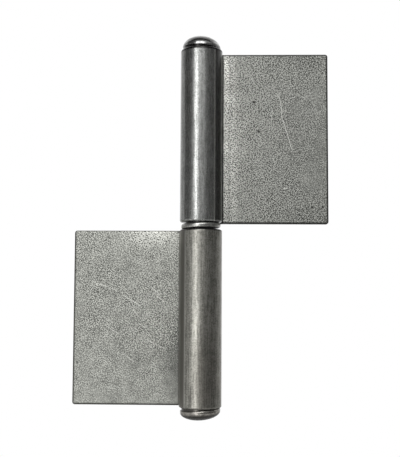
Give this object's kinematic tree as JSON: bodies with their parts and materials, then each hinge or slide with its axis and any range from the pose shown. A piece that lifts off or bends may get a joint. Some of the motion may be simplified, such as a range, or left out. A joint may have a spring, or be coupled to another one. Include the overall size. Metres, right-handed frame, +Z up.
{
  "type": "lift-off flag hinge",
  "caption": "Weld-on flag hinge in bare steel: flat leaves rolled into knuckles that turn on a headed pin, with a bearing ring between them and a domed cap on top.",
  "frame": {"origin": "on the pin's axis, at half the height of the bearing ring between the knuckles, within half a millimetre of the centre of the open hinge's box", "axes": "+Z up along the pin, +X from the pin towards the upper leaf's free edge, +Y towards the backs of the leaves, which are welded on"},
  "size_m": [0.101, 0.0164, 0.1506],
  "materials": {
    "upper_leaf_steel": "hot-rolled sheet steel, bare and tumbled, fine pitted grain, knuckle rubbed smooth",
    "lower_leaf_steel": "hot-rolled sheet steel, bare and tumbled, fine pitted grain, knuckle rubbed smooth",
    "pin_steel": "turned steel, bare, satin",
    "ring_steel": "turned steel, bare, worn",
    "cap_steel": "turned steel, bare, satin"
  },
  "bodies": {
    "lower_half": {"lower_leaf": "lower_leaf_steel", "hinge_pin": "pin_steel"},
    "ring": {"bearing_ring": "ring_steel"},
    "upper_half": {"upper_leaf": "upper_leaf_steel", "top_cap": "cap_steel"}
  },
  "joints": [
    {"name": "swing", "type": "hinge", "parent": "lower_half", "child": "ring", "pos_m": [0, 0, 0], "axis": [0, 0, 1], "continuous": true},
    {"name": "lift_off", "type": "slide", "parent": "ring", "child": "upper_half", "axis": [0, 0, 1], "range_m": [0, 0.042]}
  ]
}
